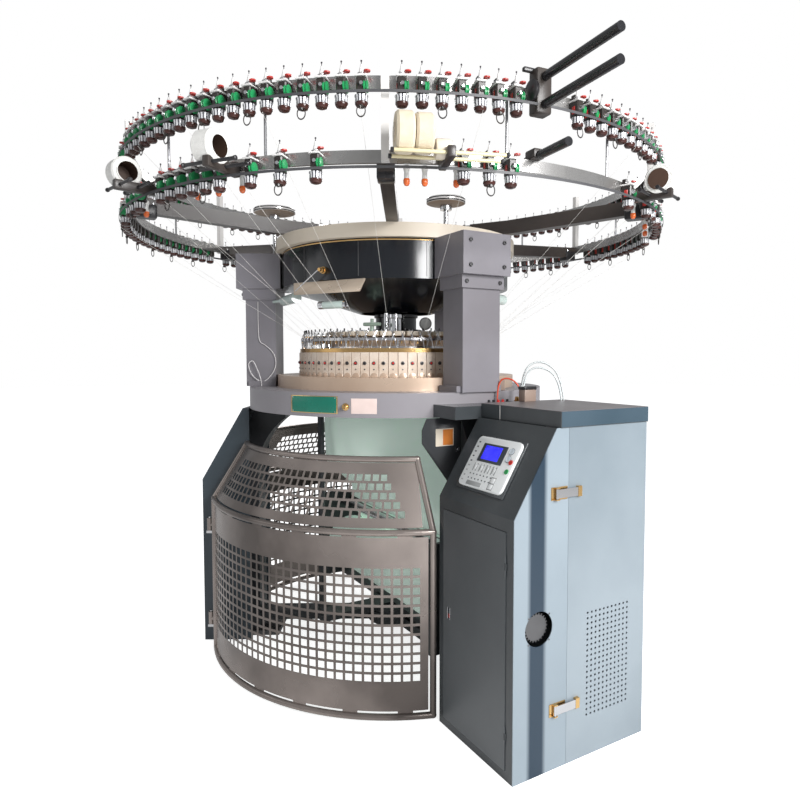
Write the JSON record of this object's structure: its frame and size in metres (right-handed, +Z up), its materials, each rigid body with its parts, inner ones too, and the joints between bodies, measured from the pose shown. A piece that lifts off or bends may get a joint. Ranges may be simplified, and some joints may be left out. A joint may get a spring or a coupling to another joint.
{
  "type": "industrial circular knitting machine",
  "caption": "Large-diameter circular knitting machine with cylinder head, cam ring, feeder rings, take-down behind perforated gates, and a control cabinet.",
  "frame": {"origin": "machine's vertical axis at floor level, centre of the three anchor bolts", "axes": "+Z up along the cylinder's axis, +X through the right leg and the control cabinet"},
  "size_m": [2.9271, 2.6457, 2.396],
  "materials": {
    "frame_paint": "satin",
    "slate_paint": "fine texture",
    "panel_paint": "fine texture",
    "ring_paint": "satin",
    "pillar_paint": "satin",
    "black_gloss": "gloss",
    "cream_plate": "satin",
    "cam_bronze": "anodised",
    "brass_rim": "polished",
    "bright_steel": "polished",
    "bright_alloy": "turned",
    "dark_steel": "oiled",
    "arm_black": "satin",
    "feeder_black": "gloss",
    "feeder_green": "gloss",
    "lamp_white": "gloss",
    "keypad_white": "satin",
    "belt_rubber": "matte",
    "knit_fabric": "knitted",
    "gate_paint": "satin",
    "button_green": "gloss",
    "button_red": "gloss",
    "yarn_cream": "wound yarn"
  },
  "bodies": {
    "machine": {"leg_castings": "frame_paint", "foot_pads": "dark_steel", "base_spider": "frame_paint", "leg_covers": "slate_paint", "bed_ring": "ring_paint", "cam_seat_ring": "cam_bronze", "cam_boxes": "cam_bronze", "cam_rim": "brass_rim", "yarn_guide_ring": "bright_steel", "pillars": "pillar_paint", "yarn_drum": "black_gloss", "drum_top_plate": "cream_plate", "dial_spindle": "dark_steel", "dial_cams": "cam_bronze", "lamps": "bright_steel", "ring_arms": "arm_black", "lower_ring": "arm_black", "upper_ring": "arm_black", "ring_posts": "bright_alloy", "feeder_bodies": "feeder_black", "feeder_caps": "feeder_green", "feeder_drums": "bright_steel", "feeder_tensioners": "bright_steel", "feeder_lamps": "lamp_white", "roller_brackets": "arm_black", "disc_posts": "bright_steel", "cabinet_body": "slate_paint", "cabinet_front_side_panel": "panel_paint", "cabinet_rear_cover": "panel_paint", "cabinet_top": "slate_paint", "keypad_case": "keypad_white", "latch_bases": "bright_steel", "motor": "slate_paint", "drive_belt": "belt_rubber", "gate_hinges": "bright_steel"},
    "rotor": {"needle_cylinder": "bright_steel", "ring_gear": "dark_steel", "dial": "bright_steel", "takedown_frame": "frame_paint", "fabric_tube": "knit_fabric"},
    "cloth_roll": {"cloth_roll": "knit_fabric"},
    "takedown_roller_driven": {"takedown_roller_driven": "bright_steel"},
    "takedown_roller_idle": {"takedown_roller_idle": "bright_steel"},
    "drive_shaft": {"drive_shaft": "dark_steel"},
    "motor_pulley": {"motor_pulley": "dark_steel"},
    "hand_wheel": {"hand_wheel": "bright_alloy"},
    "length_disc_left": {"length_disc_left": "bright_alloy"},
    "length_disc_right": {"length_disc_right": "bright_alloy"},
    "gate_front": {"gate_front": "gate_paint"},
    "gate_right": {"gate_right": "gate_paint"},
    "gate_left": {"gate_left": "gate_paint"},
    "cabinet_door": {"cabinet_door": "slate_paint"},
    "latch_lower": {"latch_lower": "bright_steel"},
    "latch_upper": {"latch_upper": "bright_steel"},
    "start_button": {"start_button": "button_green"},
    "stop_button": {"stop_button": "button_red"},
    "top_roller_lower": {"top_roller_lower": "arm_black"},
    "top_roller_upper": {"top_roller_upper": "arm_black"},
    "single_roller": {"single_roller": "arm_black"},
    "front_bobbin": {"front_bobbin": "yarn_cream"}
  },
  "joints": [
    {"name": "cylinder_spin", "type": "hinge", "parent": "machine", "child": "rotor", "pos_m": [0, 0, 1.2], "axis": [0, 0, 1], "continuous": true},
    {"name": "cloth_roll_spin", "type": "hinge", "parent": "rotor", "child": "cloth_roll", "pos_m": [0, 0, 0.33], "axis": [1, 0, 0], "continuous": true},
    {"name": "takedown_driven_spin", "type": "hinge", "parent": "rotor", "child": "takedown_roller_driven", "pos_m": [0, -0.027, 0.56], "axis": [1, 0, 0], "continuous": true},
    {"name": "takedown_idle_spin", "type": "hinge", "parent": "rotor", "child": "takedown_roller_idle", "pos_m": [0, 0.027, 0.56], "axis": [1, 0, 0], "continuous": true},
    {"name": "drive_shaft_spin", "type": "hinge", "parent": "machine", "child": "drive_shaft", "pos_m": [0.49697, 0.22126, 1.2], "axis": [0, 0, 1], "continuous": true},
    {"name": "motor_spin", "type": "hinge", "parent": "machine", "child": "motor_pulley", "pos_m": [0.99, 0.225, 1.1], "axis": [0, 0, 1], "continuous": true},
    {"name": "hand_wheel_spin", "type": "hinge", "parent": "machine", "child": "hand_wheel", "pos_m": [1.28, -0.171, 0.511], "axis": [1, 0, 0], "continuous": true},
    {"name": "left_disc_spin", "type": "hinge", "parent": "machine", "child": "length_disc_left", "pos_m": [-0.31, -0.537, 2.15], "axis": [0, 0, 1], "continuous": true},
    {"name": "right_disc_spin", "type": "hinge", "parent": "machine", "child": "length_disc_right", "pos_m": [0.55, -0.05, 2.085], "axis": [0, 0, 1], "continuous": true},
    {"name": "gate_front_hinge", "type": "hinge", "parent": "machine", "child": "gate_front", "pos_m": [-0.22341, -0.90277, 0.4], "axis": [0, 0, 1], "range_deg": [-95, 0]},
    {"name": "gate_right_hinge", "type": "hinge", "parent": "machine", "child": "gate_right", "pos_m": [-0.22341, 0.90277, 0.4], "axis": [0, 0, 1], "range_deg": [0, 95]},
    {"name": "gate_left_hinge", "type": "hinge", "parent": "machine", "child": "gate_left", "pos_m": [-0.68676, -0.6271, 0.4], "axis": [0, 0, 1], "range_deg": [0, 95]},
    {"name": "cabinet_door_hinge", "type": "hinge", "parent": "machine", "child": "cabinet_door", "pos_m": [1.277, -0.283, 0.44], "axis": [0, 0, 1], "range_deg": [0, 110]},
    {"name": "latch_lower_turn", "type": "hinge", "parent": "machine", "child": "latch_lower", "pos_m": [1.328, -0.103, 0.213], "axis": [0, 0, 1], "range_deg": [-120, 0]},
    {"name": "latch_upper_turn", "type": "hinge", "parent": "machine", "child": "latch_upper", "pos_m": [1.328, -0.103, 0.965], "axis": [0, 0, 1], "range_deg": [-120, 0]},
    {"name": "start_button_press", "type": "slide", "parent": "machine", "child": "start_button", "axis": [0, 0.8495, -0.5277], "range_m": [0, 0.003], "stiffness_N_per_m": 300, "springref_m": -0.0005},
    {"name": "stop_button_press", "type": "slide", "parent": "machine", "child": "stop_button", "axis": [0, 0.8495, -0.5277], "range_m": [0, 0.003], "stiffness_N_per_m": 300, "springref_m": -0.0005},
    {"name": "top_roller_lower_spin", "type": "hinge", "parent": "machine", "child": "top_roller_lower", "pos_m": [1.29288, -0.13589, 2.262], "axis": [0.9945, -0.1045, 0], "continuous": true},
    {"name": "top_roller_upper_spin", "type": "hinge", "parent": "machine", "child": "top_roller_upper", "pos_m": [1.29288, -0.13589, 2.352], "axis": [0.9945, -0.1045, 0], "continuous": true},
    {"name": "single_roller_spin", "type": "hinge", "parent": "machine", "child": "single_roller", "pos_m": [1.29288, -0.13589, 2.104], "axis": [0.9945, -0.1045, 0], "continuous": true},
    {"name": "front_bobbin_spin", "type": "hinge", "parent": "machine", "child": "front_bobbin", "pos_m": [1.25141, -0.49294, 2.1096], "axis": [0.3665, 0.9304, 0], "continuous": true}
  ],
  "couplings": [
    {"joint": "cloth_roll_spin", "follows": "cylinder_spin", "ratio": 0.6},
    {"joint": "takedown_driven_spin", "follows": "cylinder_spin", "ratio": 3},
    {"joint": "takedown_idle_spin", "follows": "cylinder_spin", "ratio": -3},
    {"joint": "drive_shaft_spin", "follows": "cylinder_spin", "ratio": -7.5},
    {"joint": "motor_spin", "follows": "cylinder_spin", "ratio": -11.25},
    {"joint": "hand_wheel_spin", "follows": "cylinder_spin", "ratio": -11.25},
    {"joint": "left_disc_spin", "follows": "cylinder_spin", "ratio": 4},
    {"joint": "right_disc_spin", "follows": "cylinder_spin", "ratio": 4},
    {"joint": "top_roller_lower_spin", "follows": "cylinder_spin", "ratio": 5},
    {"joint": "top_roller_upper_spin", "follows": "cylinder_spin", "ratio": 5},
    {"joint": "single_roller_spin", "follows": "cylinder_spin", "ratio": 5}
  ]
}
